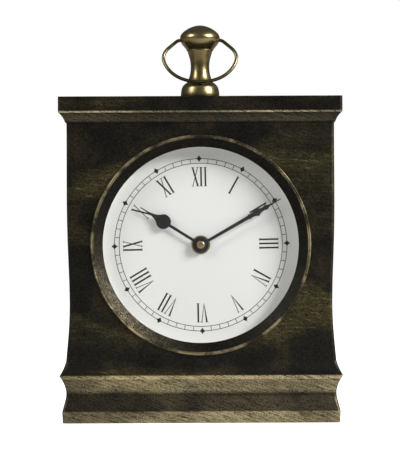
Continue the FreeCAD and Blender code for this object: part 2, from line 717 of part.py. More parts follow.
def make_movement_housing():
    outer = movement_box((-MOVEMENT_HALF, MOVEMENT_HALF), (MOVEMENT_FRONT, COVER_FRONT),
                         (-MOVEMENT_HALF, MOVEMENT_HALF))
    inner_half = MOVEMENT_HALF - SHELL
    works = movement_box((-inner_half, inner_half), (INNER_FRONT, 0), (BAY_WALL[1], inner_half))
    bay = movement_box((-inner_half, inner_half), (INNER_FRONT, 0), (-inner_half, BAY_WALL[0]))
    shell = outer.cut([works, bay])
    posts = [at(place, 1.2, INNER_FRONT - 0.5, PLATE_FRONT) for place in PLATE_POSTS]
    posts += [at(place, 1.2, INNER_FRONT - 0.5, PLATE_BACK) for place in STATOR_POSTS]
    posts += [at(place, 1.0, INNER_FRONT - 0.5, BOARD_FRONT) for place in BOARD_POSTS]
    bush = at(CENTRE, BUSH_RADIUS, BUSH_FRONT, INNER_FRONT)
    solid = joined([shell, bush] + posts)
    solid = solid.cut(at(CENTRE, TUBE_OUTER + RUNNING_GAP, BUSH_FRONT - 1, 0))
    for place in (MINUTE_WHEEL, SETTING):
        solid = solid.cut(at(place, PIVOT + RUNNING_GAP, INNER_FRONT - PIVOT_DEPTH - 0.1, 0))
    for side in (-1, 1):
        slot = sorted((side * (inner_half - 0.7), side * (inner_half + 0.1)))
        solid = solid.cut(movement_box(slot, (-8.2, 0), (BAY_WALL[0] - 1, BAY_WALL[1] + 1)))
    return solid


def make_movement_cover():
    """Back cover over the works. It leaves the battery bay open."""
    cover = movement_box((-MOVEMENT_HALF, MOVEMENT_HALF), (COVER_FRONT, MOVEMENT_BACK),
                         (BAY_WALL[0], MOVEMENT_HALF))
    for place in GOING_ARBORS:
        boss = at(place, 1.2, COVER_FRONT - 0.6, COVER_FRONT)
        cover = cover.fuse(boss).cut(at(place, PIVOT + RUNNING_GAP, COVER_FRONT - 1, COVER_FRONT + 0.3))
    cover = cover.cut(at(CENTRE, PIVOT * 2 + RUNNING_GAP, COVER_FRONT - 1, COVER_FRONT + 0.6))
    return cover.cut(at(SETTING, SETTING_STEM + RUNNING_GAP, COVER_FRONT - 1, 0)).removeSplitter()


def make_middle_plate():
    plate = movement_box((-17.0, 26.7), (PLATE_FRONT, PLATE_BACK), (-10.9, 19.0))
    plate = plate.cut(at(CENTRE, ARBOR_BACK + RUNNING_GAP, PLATE_FRONT - 1, PLATE_BACK + 1))
    plate = plate.cut(at(SETTING, SETTING_STEM + RUNNING_GAP, PLATE_FRONT - 1, PLATE_BACK + 1))
    for place in GOING_ARBORS + (MINUTE_WHEEL,):
        plate = plate.cut(at(place, PIVOT + RUNNING_GAP, PLATE_FRONT - 1, PLATE_BACK + 1))
    return plate


# ---------------------------------------------------------------- movement: gears
TOOTH_ADDENDUM = 0.75       # tooth height above the pitch circle, in modules
TOOTH_DEDENDUM = 1.25
WHEEL_TEETH = ((-TOOTH_DEDENDUM, 0.28), (0.0, 0.21), (TOOTH_ADDENDUM, 0.09))
PINION_TEETH = ((-TOOTH_DEDENDUM, 0.19), (0.0, 0.18), (TOOTH_ADDENDUM, 0.07))
PINION_LIMIT = 12


def gear(spec, place, phase):
    """Toothed disc, with one tooth's middle at the phase angle."""
    teeth, module, low, high = spec
    radius = teeth * module / 2
    form = PINION_TEETH if teeth <= PINION_LIMIT else WHEEL_TEETH
    pitch = 360.0 / teeth
    points = []
    for tooth in range(teeth):
        middle = phase + tooth * pitch
        rising = [(height, middle - share * pitch) for height, share in form]
        falling = [(height, middle + share * pitch) for height, share in reversed(form)]
        for height, angle in rising + falling:
            points.append(polar(place, radius + height * module, angle))
    face = outline_face(front_view, points[0], *points[1:])
    disc = face.extrude(vec(0, high - low, 0))
    disc.translate(vec(0, low, DIAL_Z))
    return disc


def meshed(direction, teeth, phase, mate_teeth):
    """Phase of a gear that meshes with one of known phase, which lies opposite the direction."""
    return direction + 180 + (direction - phase) * teeth / mate_teeth + 180 / mate_teeth


MINUTE_GEAR_PHASE = meshed(MINUTE_WHEEL_DIRECTION, CANNON_PINION[0], 0, MINUTE_GEAR[0])
SETTING_PHASE = meshed(MINUTE_WHEEL_DIRECTION, MINUTE_GEAR[0], MINUTE_GEAR_PHASE, SETTING_PINION[0])
HOUR_GEAR_PHASE = meshed(MINUTE_WHEEL_DIRECTION + 180, MINUTE_PINION[0], 0, HOUR_GEAR[0])
CENTRE_GEAR_PHASE = meshed(THIRD_DIRECTION + 180, THIRD_PINION[0], 0, CENTRE_GEAR[0])
THIRD_GEAR_PHASE = meshed(SECONDS_DIRECTION + 180, SECONDS_PINION[0], 0, THIRD_GEAR[0])
SECONDS_GEAR_PHASE = meshed(INTERMEDIATE_DIRECTION + 180, INTERMEDIATE_PINION[0], 0, SECONDS_GEAR[0])
INTERMEDIATE_GEAR_PHASE = meshed(ROTOR_DIRECTION + 180, ROTOR_PINION[0], 0, INTERMEDIATE_GEAR[0])


def staff(place, low, high, radius=STAFF):
    """Small arbor between two plates, with a thinner pivot at each end."""
    return joined([at(place, radius, low + 0.1, high - 0.1),
                   at(place, PIVOT, low - PIVOT_DEPTH, high + PIVOT_DEPTH)])


def make_minute_arbor():
    shoulder = MINUTE_BOSS_Y[1]
    front = at(CENTRE, ARBOR_THIN, ARBOR_TIP, shoulder)
    thick = at(CENTRE, ARBOR_THICK, shoulder, CANNON_PINION[2] + 0.1)
    back = at(CENTRE, ARBOR_BACK, CANNON_PINION[3] - 0.1, CENTRE_GEAR[3] + 0.4)
    tail = at(CENTRE, PIVOT * 2, CENTRE_GEAR[3], COVER_FRONT + 0.5)
    return joined([front, thick, gear(CANNON_PINION, CENTRE, 0), back, tail])


def make_hour_wheel():
    tube = at(CENTRE, TUBE_OUTER, HOUR_BOSS_Y[0], HOUR_GEAR[3])
    wheel = joined([gear(HOUR_GEAR, CENTRE, HOUR_GEAR_PHASE), tube])
    return wheel.cut(at(CENTRE, TUBE_BORE, HOUR_BOSS_Y[0] - 1, 0))


def make_minute_wheel():
    return joined([gear(MINUTE_GEAR, MINUTE_WHEEL, MINUTE_GEAR_PHASE),
                   gear(MINUTE_PINION, MINUTE_WHEEL, 0),
                   staff(MINUTE_WHEEL, INNER_FRONT, PLATE_FRONT)])


def make_centre_wheel():
    """Wheel that grips the minute arbor by friction, so the hands can be set."""
    wheel = gear(CENTRE_GEAR, CENTRE, CENTRE_GEAR_PHASE)
    hub = at(CENTRE, 2.2, CENTRE_GEAR[2] - 0.2, CENTRE_GEAR[3] + 0.3)
    windows = [at(polar(CENTRE, 5.6, angle), 2.0, PLATE_BACK, 0) for angle in range(45, 360, 90)]
    return joined([wheel, hub]).cut(windows).cut(at(CENTRE, ARBOR_BACK + RUNNING_GAP, PLATE_BACK, 0))


def train_wheel(place, wheel, wheel_phase, pinion):
    return joined([gear(wheel, place, wheel_phase), gear(pinion, place, 0),
                   staff(place, PLATE_BACK, COVER_FRONT - 0.6)])


def make_rotor():
    magnet = at(ROTOR, MAGNET_RADIUS, *MAGNET)
    return joined([magnet, gear(ROTOR_PINION, ROTOR, 0), staff(ROTOR, PLATE_BACK, COVER_FRONT - 0.6)])


def make_setting_knob():
    """Knurled knob behind the cover, on a stem whose pinion turns the minute wheel."""
    stem = at(SETTING, SETTING_STEM, SETTING_PINION[3] - 0.1, MOVEMENT_BACK + 1)
    pivot = at(SETTING, PIVOT, INNER_FRONT - PIVOT_DEPTH, SETTING_PINION[2] + 0.1)
    front = at(SETTING, 0.7, INNER_FRONT + 0.1, SETTING_PINION[2] + 0.1)
    low, high = MOVEMENT_BACK + 0.3, MOVEMENT_BACK + 4.3
    flutes = 18
    disc = at(SETTING, 6.0, low, high)
    for flute in range(flutes):
        disc = disc.cut(at(polar(SETTING, 6.35, flute * 360.0 / flutes), 0.7, low + 1.0, high + 1))
    return joined([pivot, front, gear(SETTING_PINION, SETTING, SETTING_PHASE), stem, disc])


# ---------------------------------------------------------------- movement: motor and electrics
STATOR = (PLATE_BACK, PLATE_BACK + 1.0)
CORE = (STATOR[1], STATOR[1] + 1.0)
CORE_HALF_HEIGHT = 1.2
CORE_REACH = (-20.0, 17.6)


def make_stator():
    """Laminated plate: an eye round the rotor, with one arm to each end of the coil core."""
    up = ROTOR[1]
    arm = movement_box((CORE_REACH[0], ROTOR[0]), STATOR, (up - 1.3, up + 1.3))
    left = movement_box((CORE_REACH[0], CORE_REACH[0] + 3.0), STATOR, (up - 1.3, CORE_Z + 1.2))
    right = movement_box((CORE_REACH[1] - 3.0, CORE_REACH[1]), STATOR, (up, CORE_Z + 1.2))
    eye = at(ROTOR, EYE_RADIUS, *STATOR)
    return joined([arm, left, right, eye]).cut(at(ROTOR, EYE_BORE, -20, 0))


def make_coil_core():
    return movement_box(CORE_REACH, CORE, (CORE_Z - CORE_HALF_HEIGHT, CORE_Z + CORE_HALF_HEIGHT))


def make_coil():
    """Winding between the two cheeks of its bobbin, round the core."""
    ends = (-14.0, 6.0)
    cheek = 0.8
    middle = (CORE[0] + CORE[1]) / 2
    spans = [(COIL_RADIUS, (ends[0], ends[0] + cheek)), (COIL_RADIUS - 0.4, ends),
             (COIL_RADIUS, (ends[1] - cheek, ends[1]))]
    drums = [rod(radius, *span, ALONG_X, 0, middle, DIAL_Z + CORE_Z) for radius, span in spans]
    gap = 0.05
    window = movement_box((ends[0] - 1, ends[1] + 1), (CORE[0] - gap, CORE[1] + gap),
                          (CORE_Z - CORE_HALF_HEIGHT - gap, CORE_Z + CORE_HALF_HEIGHT + gap))
    return joined(drums).cut(window)


def make_circuit_board():
    return movement_box((-26.2, -4.0), (BOARD_FRONT, BOARD_BACK), (10.6, 26.4))


def make_quartz_crystal():
    """Small round can that lies on the board."""
    radius = 1.0
    return rod(radius, -21.5, -15.5, ALONG_X, 0, BOARD_BACK + radius, DIAL_Z + 22.5)


def make_driver_chip():
    """Blob of black resin over the bonded chip."""
    chip = (-10.5, 15.5)

    def lathe(radius, y):
        return vec(chip[0] + radius, y, DIAL_Z + chip[1])
    return turned(lathe, vec(chip[0], 0, DIAL_Z + chip[1]), ALONG_Y,
                  (0, BOARD_BACK), (3.0, BOARD_BACK),
                  [(2.5, BOARD_BACK + 0.6), (1.5, BOARD_BACK + 1.05), (0, BOARD_BACK + 1.2)])


def make_battery():
    """AA cell, its positive end to the right."""
    start = -BATTERY_LENGTH / 2
    can = rod(BATTERY_RADIUS, start, -start, ALONG_X, 0, BATTERY_Y, DIAL_Z + BATTERY_Z)
    tip = rod(2.7, -start - 0.1, -start + 1.0, ALONG_X, 0, BATTERY_Y, DIAL_Z + BATTERY_Z)
    return joined([can, tip])


def battery_contact(side, touch):
    """Spring strip at one end of the bay, with a tail up to the circuit."""
    wall = MOVEMENT_HALF - SHELL
    strip = 0.4
    face = side * (wall - strip)
    plate = movement_box(sorted((side * wall, face)), (-14.0, -3.0), (-25.0, -13.5))
    tail = movement_box(sorted((side * wall, face)), (-8.0, BOARD_BACK), (-14.0, 10.5))
    spring = rod(2.2, *sorted((face + side * 0.1, touch)), ALONG_X, 0, BATTERY_Y, DIAL_Z + BATTERY_Z)
    return joined([plate, tail, spring])


# ---------------------------------------------------------------- finial and bow
def make_finial_base():
    bore = M6_RADIUS + TAPPED_GAP
    depth = 10.0
    seat = FOOT_RADIUS + 0.4
    return finial_turned((0, depth), (bore, depth), (bore, 0), (BASE_RADIUS - 0.5, 0),
                         [(BASE_RADIUS, 2.8), (15.4, 6.0), (14.6, 9.0), (12.9, 11.4), (11.6, 12.5)],
                         (seat, 13.0), (seat, BASE_TOP), (0, BASE_TOP))


def make_finial_post():
    """Waisted column and domed head, cross-drilled for the bow."""
    post = finial_turned((0, BASE_TOP), (FOOT_RADIUS, BASE_TOP), (FOOT_RADIUS, BASE_TOP + 0.8),
                         [(8.6, 18.0), (WAIST_RADIUS, 24.0), (7.9, 30.3), (9.1, 35.1), (10.3, COLLAR[0])],
                         (COLLAR_RADIUS, COLLAR[0]), (COLLAR_RADIUS, COLLAR[1]),
                         [(12.4, 41.6), (14.2, 43.8), (15.6, 46.4), (HEAD_RADIUS, HEAD_WIDE)],
                         [(15.2, 52.3), (12.9, 54.7), (8.8, 57.3), (4.4, 59.0), (0, HEAD_TOP)])
    hole = rod(BOW_HOLE_RADIUS, -2 * HEAD_RADIUS, 2 * HEAD_RADIUS, ALONG_X, z=CASE_TOP + BOW_HOLE_UP)
    return post.cut(hole)


def make_finial_stud():
    return rod(M6_RADIUS, CASE_TOP - 10.5, CASE_TOP + 9.5, ALONG_Z)


def make_finial_washer():
    top = CASE_TOP - TOP_PLATE
    return rod(8.0, top - 1.2, top, ALONG_Z).cut(rod(M6_RADIUS + CLEAR_GAP, top - 2, top + 1, ALONG_Z))


def make_finial_nut():
    height = 5.0
    top = CASE_TOP - TOP_PLATE - 1.2
    nut = hexagon(10.0, 0, height, 0, 0)
    nut.rotate(vec(0, 0, 0), ALONG_X, 90)
    nut.translate(vec(0, 0, top - height))
    return nut.cut(rod(M6_RADIUS + TAPPED_GAP, top - height - 1, top + 1, ALONG_Z))


def make_bow():
    """Wire loop in the shape of an eye, whose straight top runs through the head of the finial.

    Drawn as distances to the right of the middle and down from the pin.
    """
    half_loop = ((BOW_PIN, 0), (17.4, 0.2), (19.0, 1.1), (21.6, 3.4), (25.7, 7.2), (28.6, 11.2),
                 (29.7, 15.2), (28.9, 19.8), (26.4, 24.9), (22.4, 29.6), (16.6, 33.7), (9.0, 36.4))
    lowest = vec(0, 0, -37.3)
    right = [vec(x, 0, -down) for x, down in half_loop]
    left = [vec(-x, 0, -down) for x, down in reversed(half_loop)]
    curve = Part.BSplineCurve()
    curve.interpolate(right + [lowest] + left)
    bends = Part.Wire([arc.toShape() for arc in curve.toBiArcs(BEND_TOLERANCE)])
    section = Part.Circle(right[0], curve.tangent(0)[0], WIRE_RADIUS).toShape()
    loop = bends.makePipeShell([Part.Wire(section)], True, True)
    bow = joined([loop, rod(WIRE_RADIUS, -BOW_PIN, BOW_PIN, ALONG_X)])
    bow.rotate(vec(0, 0, 0), ALONG_X, -BOW_TILT)
    bow.translate(vec(0, 0, CASE_TOP + BOW_HOLE_UP))
    return bow


# ---------------------------------------------------------------- every node
NODES = {
    "plinth": make_plinth,
    "case_body": make_case_body,
    "cornice": make_cornice,
    "cornice_screws": make_cornice_screws,
    "plinth_screws": make_plinth_screws,
    "base_plate": make_base_plate,
    "base_screws": make_base_screws,
    "base_felt": make_base_felt,
    "back_panel": make_back_panel,
    "panel_screws": make_panel_screws,
    "back_door": make_back_door,
    "panel_hinge_leaf": lambda: hinge_leaf(-1, 0),
    "door_hinge_leaf": lambda: hinge_leaf(1, 1),
    "panel_hinge_rivets": lambda: hinge_rivets(-1),
    "door_hinge_rivets": lambda: hinge_rivets(1),
    "hinge_pin": make_hinge_pin,
    "door_knob": make_door_knob,
    "door_knob_nut": make_door_knob_nut,
    "magnet_catch": make_magnet_catch,
    "bezel": make_bezel,
    "bezel_snap_ring": make_bezel_snap_ring,
    "glass": make_glass,
    "dial_spacer": make_dial_spacer,
    "dial_plate": make_dial_plate,
    "dial_snap_ring": make_dial_snap_ring,
    "dial_washer": make_dial_washer,
    "dial_nut": make_dial_nut,
    "rubber_washer": make_rubber_washer,
    "hour_hand": make_hour_hand,
    "minute_hand": make_minute_hand,
    "hand_nut": make_hand_nut,
    "movement_housing": make_movement_housing,
    "movement_cover": make_movement_cover,
    "middle_plate": make_middle_plate,
    "minute_arbor": make_minute_arbor,
    "hour_wheel": make_hour_wheel,
    "minute_wheel": make_minute_wheel,
    "centre_wheel": make_centre_wheel,
    "third_wheel": lambda: train_wheel(THIRD, THIRD_GEAR, THIRD_GEAR_PHASE, THIRD_PINION),
    "seconds_wheel": lambda: train_wheel(SECONDS, SECONDS_GEAR, SECONDS_GEAR_PHASE, SECONDS_PINION),
    "intermediate_wheel": lambda: train_wheel(INTERMEDIATE, INTERMEDIATE_GEAR, INTERMEDIATE_GEAR_PHASE,
                                              INTERMEDIATE_PINION),
    "rotor": make_rotor,
    "setting_knob": make_setting_knob,
    "stator": make_stator,
    "coil_core": make_coil_core,
    "coil": make_coil,
    "circuit_board": make_circuit_board,
    "quartz_crystal": make_quartz_crystal,
    "driver_chip": make_driver_chip,
    "battery": make_battery,
    "positive_contact": lambda: battery_contact(1, BATTERY_LENGTH / 2 + 1.0),
    "negative_contact": lambda: battery_contact(-1, -BATTERY_LENGTH / 2),
    "finial_base": make_finial_base,
    "finial_post": make_finial_post,
    "finial_stud": make_finial_stud,
    "finial_washer": make_finial_washer,
    "finial_nut": make_finial_nut,
    "bow": make_bow,
}


def main():
    os.makedirs("parts", exist_ok=True)
    for name, make in NODES.items():
        shape = make()
        print(f"{name:20s} solids {len(shape.Solids)}  valid {shape.isValid()}  mm3 {shape.Volume:10.1f}")
        shape.exportStep(f"parts/{name}.step")


main()
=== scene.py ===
"""Looks for the mantel carriage clock: materials for its CAD nodes, the dial's print, and the studio.

Metres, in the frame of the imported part: X to the viewer's right, Y to the back, Z up.
"""
import json
import math

import bmesh
import bpy
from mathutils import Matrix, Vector


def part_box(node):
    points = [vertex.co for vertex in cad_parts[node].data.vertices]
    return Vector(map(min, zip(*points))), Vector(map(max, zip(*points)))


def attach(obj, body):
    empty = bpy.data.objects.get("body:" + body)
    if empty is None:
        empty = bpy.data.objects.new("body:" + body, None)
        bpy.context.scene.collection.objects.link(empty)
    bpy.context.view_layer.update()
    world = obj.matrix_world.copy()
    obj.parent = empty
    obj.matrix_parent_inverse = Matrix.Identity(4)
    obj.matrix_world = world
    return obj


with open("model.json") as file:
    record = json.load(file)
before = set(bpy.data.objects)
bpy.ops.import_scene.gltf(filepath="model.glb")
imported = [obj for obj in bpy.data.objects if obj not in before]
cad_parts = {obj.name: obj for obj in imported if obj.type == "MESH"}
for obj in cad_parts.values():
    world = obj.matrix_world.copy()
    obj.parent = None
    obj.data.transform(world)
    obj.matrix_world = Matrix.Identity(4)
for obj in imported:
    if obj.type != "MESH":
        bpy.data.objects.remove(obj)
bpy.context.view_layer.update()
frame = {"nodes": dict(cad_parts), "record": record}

MM = 0.001

# ------------------------------------------------------------------ places taken from the frame
CASE_LOW, CASE_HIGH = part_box("case_body")
PLINTH_LOW, PLINTH_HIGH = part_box("plinth")
CORNICE_LOW, CORNICE_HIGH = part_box("cornice")
DIAL_LOW, DIAL_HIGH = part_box("dial_plate")
BEZEL_LOW, BEZEL_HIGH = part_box("bezel")
DIAL_CENTRE = Vector((0, 0, (DIAL_LOW.z + DIAL_HIGH.z) / 2))
DIAL_FACE = DIAL_LOW.y
BEZEL_RADIUS = (BEZEL_HIGH.x - BEZEL_LOW.x) / 2

# ------------------------------------------------------------------ camera and studio
CAMERA_SIDE = -0.00055
CAMERA_HEIGHT = 0.15865
CAMERA_ROLL = 0.25              # degrees; the camera's top leans to the right
CAMERA_DISTANCE = 1.8           # from the front of the case body
CLIP_END = 50.0
VIEW_HEIGHT = 0.360             # height of the picture at the front of the case body
SENSOR_HEIGHT = 24.0
FLOOR_FRONT = 0.8               # near enough for its edge to stay out of the dial glass
FLOOR_SIDE = 4.0
FLOOR_BACK = 3.0
STUDIO_LIGHTS = {
    # name: (place, width, height, watts)
    "right_softbox": ((1.30, -0.80, 1.02), 0.60, 0.60, 46.5),
    "left_softbox": ((-1.25, -0.80, 1.10), 0.45, 0.80, 14.5),
}
GLASS_MIRROR = 0.04             # share that glass reflects, seen square on
FLOOR_SEEN = 1.0                # glow of the floor as the camera sees it
FLOOR_GLOW = 0.05               # its glow as light and in reflections
WORLD_SEEN = 1.0                # white background as the camera sees it
WORLD_LIGHT = 0.14              # the room as light and in reflections

# ------------------------------------------------------------------ dial print, millimetres
PRINT_TURN = -0.9               # degrees; the print sits slightly anticlockwise of upright
PRINT_THICK = 0.04
TRACK_OUTER = 69.5
TRACK_INNER = 65.8
TRACK_LINE = 0.50
TICK_WIDTH = 0.48
DIAMOND_RADIAL = 2.7
DIAMOND_ACROSS = 2.3
DIAMOND_HOLLOW = 0.42           # 0.5 would make its sides straight
HOUR_ANGLE = 30
MINUTE_ANGLE = 6
ARC_STEPS = 30                  # for each hour of the track
NUMERAL_INNER = 47.2
NUMERAL_HEIGHT = 15.4
THICK_STROKE = 1.35
THIN_STROKE = 0.60
SERIF_THICK = 0.45
SERIF_LENGTH = 2.35
THIN_SERIF = 1.9
V_SPREAD = 2.05
V_POINT_LEFT = -0.02            # sides of the V's point
V_POINT_RIGHT = 0.28
V_THIN_LOW = 0.5                # heights where the V's thin arm meets its thick one
V_THIN_HIGH = 2.1
X_SPREAD = 1.95
ADVANCE = {"I": 3.4, "V": 6.3, "X": 6.1}
NUMERALS = ("XII", "I", "II", "III", "IV", "V", "VI", "VII", "VIII", "IX", "X", "XI")


# ------------------------------------------------------------------ mesh helpers
def new_piece(name, mesh, body, material):
    piece = bpy.data.objects.new(name, mesh)
    bpy.context.collection.objects.link(piece)
    piece.data.materials.append(material)
    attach(piece, body)
    return piece


def prisms(name, outlines):
    """Mesh of thin flat prisms on the dial, from outlines in millimetres about its centre."""
    mesh = bpy.data.meshes.new(name)
    form = bmesh.new()
    front, back = DIAL_FACE - PRINT_THICK * MM, DIAL_FACE + PRINT_THICK * MM
    for outline in outlines:
        corners = [DIAL_CENTRE + Vector((x * MM, 0, z * MM)) for x, z in outline]
        near = [form.verts.new((corner.x, front, corner.z)) for corner in corners]
        far = [form.verts.new((corner.x, back, corner.z)) for corner in corners]
        form.faces.new(near)
        form.faces.new(list(reversed(far)))
        for index, vertex in enumerate(near):
            following = (index + 1) % len(near)
            form.faces.new((vertex, far[index], far[following], near[following]))
    bmesh.ops.recalc_face_normals(form, faces=form.faces)
    form.to_mesh(mesh)
    form.free()
    return mesh


def turned_in(outline, clock_angle):
    """The outline, drawn with its up towards twelve, turned clockwise to a clock angle."""
    turn = math.radians(clock_angle + PRINT_TURN)
    return [(x * math.cos(turn) + z * math.sin(turn), z * math.cos(turn) - x * math.sin(turn))
            for x, z in outline]


# ------------------------------------------------------------------ dial print
def slab(x, low, width):
    return [(x - width / 2, low), (x + width / 2, low),
            (x + width / 2, low + SERIF_THICK), (x - width / 2, low + SERIF_THICK)]


def stroke(low_x, high_x, width, low, high):
    """Slanting stroke between two heights, its width measured across."""
    return [(low_x - width / 2, low), (low_x + width / 2, low),
            (high_x + width / 2, high), (high_x - width / 2, high)]


def letter_i(x):
    top = NUMERAL_HEIGHT - SERIF_THICK
    return [slab(x, 0, SERIF_LENGTH), slab(x, top, SERIF_LENGTH),
            stroke(x, x, THICK_STROKE, SERIF_THICK, top)]


def letter_v(x):
    """Thick left arm down to the point, and a thin right arm that meets its side."""
    top = NUMERAL_HEIGHT - SERIF_THICK
    left, right = x - V_SPREAD, x + V_SPREAD
    point = x + V_POINT_RIGHT
    thick = [(x + V_POINT_LEFT, 0), (point, 0),
             (left + THICK_STROKE / 2, top), (left - THICK_STROKE / 2, top)]
    slope = (left + THICK_STROKE / 2 - point) / top
    thin = [(point + slope * V_THIN_LOW, V_THIN_LOW), (right + THIN_STROKE / 2, top),
            (right - THIN_STROKE / 2, top), (point + slope * V_THIN_HIGH, V_THIN_HIGH)]
    return [slab(left, top, SERIF_LENGTH), slab(right, top, THIN_SERIF), thick, thin]


def letter_x(x):
    """Thick stroke from top left to bottom right, with the thin one in two halves beside it."""
    top = NUMERAL_HEIGHT - SERIF_THICK
    left, right = x - X_SPREAD, x + X_SPREAD
    thick = stroke(right, left, THICK_STROKE, SERIF_THICK, top)
    height = top - SERIF_THICK
    middle = (top + SERIF_THICK) / 2

    def crossing(side_thin, side_thick):
        """Where an edge of the thin stroke meets an edge of the thick one."""
        gap = side_thin * THIN_STROKE / 2 - side_thick * THICK_STROKE / 2
        rate = 2 * (right - left) / height
        z = middle - gap / rate
        thin_x = left + (right - left) * (z - SERIF_THICK) / height
        return (thin_x + side_thin * THIN_STROKE / 2, z)

    upper = [crossing(-1, 1), crossing(1, 1), (right + THIN_STROKE / 2, top), (right - THIN_STROKE / 2, top)]
    lower = [(left - THIN_STROKE / 2, SERIF_THICK), (left + THIN_STROKE / 2, SERIF_THICK),
             crossing(1, -1), crossing(-1, -1)]
    return [slab(left, top, SERIF_LENGTH), slab(right, top, THIN_SERIF),
            slab(left, 0, THIN_SERIF), slab(right, 0, SERIF_LENGTH), thick, upper, lower]


LETTERS = {"I": letter_i, "V": letter_v, "X": letter_x}


def numeral(text):
    """Outlines of one numeral, standing on the x axis and centred on it."""
    width = sum(ADVANCE[letter] for letter in text)
    x = -width / 2
    outlines = []
    for letter in text:
        outlines += LETTERS[letter](x + ADVANCE[letter] / 2)
        x += ADVANCE[letter]
    return outlines


def dial_numerals():
    outlines = []
    for hour, text in enumerate(NUMERALS):
        for outline in numeral(text):
            raised = [(x, z + NUMERAL_INNER) for x, z in outline]
            outlines.append(turned_in(raised, hour * HOUR_ANGLE))
    return outlines


def arc_band(radius, width, start, end):
    """Outline of a band along a circle between two clock angles."""
    angles = [math.radians(start + (end - start) * step / ARC_STEPS) for step in range(ARC_STEPS + 1)]
    outer = [((radius + width / 2) * math.sin(a), (radius + width / 2) * math.cos(a)) for a in angles]
    inner = [((radius - width / 2) * math.sin(a), (radius - width / 2) * math.cos(a)) for a in angles]
    return outer + inner[::-1]


def minute_track():
    """Two circles, in twelfths, and the ticks between them."""
    outlines = []
    for hour in range(12):
        start = hour * HOUR_ANGLE
        for radius in (TRACK_INNER, TRACK_OUTER):
            outlines.append(arc_band(radius, TRACK_LINE, start, start + HOUR_ANGLE))
    half = TICK_WIDTH / 2
    low, high = TRACK_INNER + TRACK_LINE / 2, TRACK_OUTER - TRACK_LINE / 2
    for minute in range(60):
        if minute % 5:
            tick = [(-half, low), (half, low), (half, high), (-half, high)]
            outlines.append(turned_in(tick, minute * MINUTE_ANGLE))
    return outlines


def hour_diamonds():
    """Diamonds with slightly hollow sides, on the outer circle."""
    corners = [(0, DIAMOND_RADIAL), (DIAMOND_ACROSS, 0), (0, -DIAMOND_RADIAL), (-DIAMOND_ACROSS, 0)]
    outline = []
    for index, corner in enumerate(corners):
        following = corners[(index + 1) % len(corners)]
        outline.append(corner)
        outline.append(((corner[0] + following[0]) * DIAMOND_HOLLOW,
                        (corner[1] + following[1]) * DIAMOND_HOLLOW))
    raised = [(x, z + TRACK_OUTER) for x, z in outline]
    return [turned_in(raised, hour * HOUR_ANGLE) for hour in range(12)]


# ------------------------------------------------------------------ material helpers
COLOUR_A, COLOUR_B, COLOUR_RESULT = 6, 7, 2     # sockets of a Mix node that mixes colours
SHADER_SAMPLES = 6              # of the Bevel and Ambient Occlusion nodes


class Nodes:
    """Builds one material's nodes. An input may be a number, a colour or another node's output."""

    def __init__(self, name):
        self.material = bpy.data.materials.new(name)
        self.material.use_nodes = True
        self.tree = self.material.node_tree
        self.tree.nodes.clear()
        self.place = self.put("TexCoord").outputs["Object"]

    def put(self, kind, inputs=None, **settings):
        node = self.tree.nodes.new("ShaderNode" + kind)
        for key, value in settings.items():
            setattr(node, key, value)
        for key, value in (inputs or {}).items():
            self.feed(value, node.inputs[key])
        return node

    def feed(self, value, socket):
        if isinstance(value, bpy.types.NodeSocket):
            self.tree.links.new(value, socket)
        elif isinstance(value, tuple) and len(value) == 3 and len(socket.default_value) == 4:
            socket.default_value = (*value, 1.0)
        else:
            socket.default_value = value

    def math(self, operation, a, b=0.0, c=0.0, clamp=False):
        return self.put("Math", {0: a, 1: b, 2: c}, operation=operation, use_clamp=clamp).outputs[0]

    def stretched(self, x, y, z, shift=0.0):
        scaled = self.put("VectorMath", {0: self.place, 1: (x, y, z), 2: (shift, shift, shift)},
                          operation="MULTIPLY_ADD")
        return scaled.outputs[0]

    def slanted(self, degrees, along, across):
        """Coordinates for brush strokes at an angle on the front: stretched along them."""
        turned = self.put("VectorRotate", {"Vector": self.place, "Angle": math.radians(degrees)},
                          rotation_type="Y_AXIS").outputs[0]
        scaled = self.put("VectorMath", {0: turned, 1: (along, along, across)}, operation="MULTIPLY")
        return scaled.outputs[0]

    def noise(self, scale, detail=3.0, roughness=0.55, distortion=0.0, vector=None):
        node = self.put("TexNoise", {"Vector": vector or self.place, "Scale": scale, "Detail": detail,
                                     "Roughness": roughness, "Distortion": distortion})
        return node.outputs["Fac"]

    def step(self, value, low, high, out_low=0.0, out_high=1.0):
        node = self.put("MapRange", {"Value": value, "From Min": low, "From Max": high,
                                     "To Min": out_low, "To Max": out_high},
                        interpolation_type="SMOOTHSTEP")
        return node.outputs["Result"]

    def mix(self, factor, a, b):
        node = self.put("Mix", data_type="RGBA")
        self.feed(factor, node.inputs[0])
        self.feed(a, node.inputs[COLOUR_A])
        self.feed(b, node.inputs[COLOUR_B])
        return node.outputs[COLOUR_RESULT]

    def part(self, vector, axis):
        return self.put("SeparateXYZ", {0: vector}).outputs[axis]

    def normal(self):
        return self.put("NewGeometry").outputs["Normal"]

    def edges(self, radius):
        """1 on edges and corners, 0 on flat stretches."""
        soft = self.put("Bevel", {"Radius": radius}, samples=SHADER_SAMPLES).outputs[0]
        same = self.put("VectorMath", {0: soft, 1: self.normal()}, operation="DOT_PRODUCT").outputs["Value"]
        return self.step(same, 0.995, 0.80)

    def bump(self, height, distance, strength=1.0):
        return self.put("Bump", {"Height": height, "Distance": distance, "Strength": strength}).outputs[0]

    def principled(self, **inputs):
        named = {key.replace("_", " "): value for key, value in inputs.items()}
        shader = self.put("BsdfPrincipled", named).outputs[0]
        return self.output(shader)

    def output(self, shader):
        self.put("OutputMaterial", {"Surface": shader})
        return self.material


